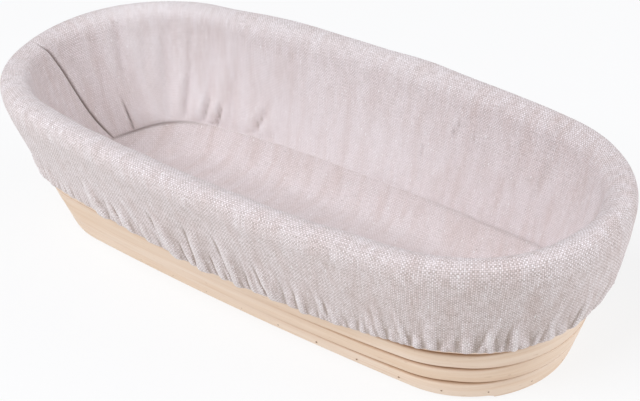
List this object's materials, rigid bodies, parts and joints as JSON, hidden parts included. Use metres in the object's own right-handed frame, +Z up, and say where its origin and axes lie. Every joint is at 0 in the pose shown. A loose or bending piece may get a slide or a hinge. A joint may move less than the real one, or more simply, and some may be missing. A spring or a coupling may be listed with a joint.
{
  "type": "proofing basket",
  "caption": "Long oval proofing basket wound from flattened cane, with a removable cloth liner that folds over the rim and is gathered below it by elastic.",
  "frame": {"origin": "centre of the basket on the surface that it stands on", "axes": "+X along the basket's length, +Z up out of its mouth"},
  "size_m": [0.35, 0.1598, 0.087],
  "materials": {
    "cane": "peeled and sanded rattan core, bare",
    "brad": "dark drawn wire, slightly rusted",
    "linen": "undyed plain-weave linen and cotton, washed",
    "elastic": "woven flat elastic, natural white"
  },
  "bodies": {
    "basket": {"floor_core": "cane", "floor_cane": "cane", "lower_wall_cane": "cane", "upper_wall_cane": "cane", "floor_brads": "brad", "foot_brads": "brad", "wall_brads": "brad"},
    "liner": {"liner_floor": "linen", "liner_side": "linen", "hem_elastic": "elastic"}
  },
  "joints": [
    {"name": "liner_lift", "type": "slide", "parent": "basket", "child": "liner", "axis": [0, 0, 1], "range_m": [0, 0.09], "deforming": ["liner_side", "hem_elastic"]}
  ]
}
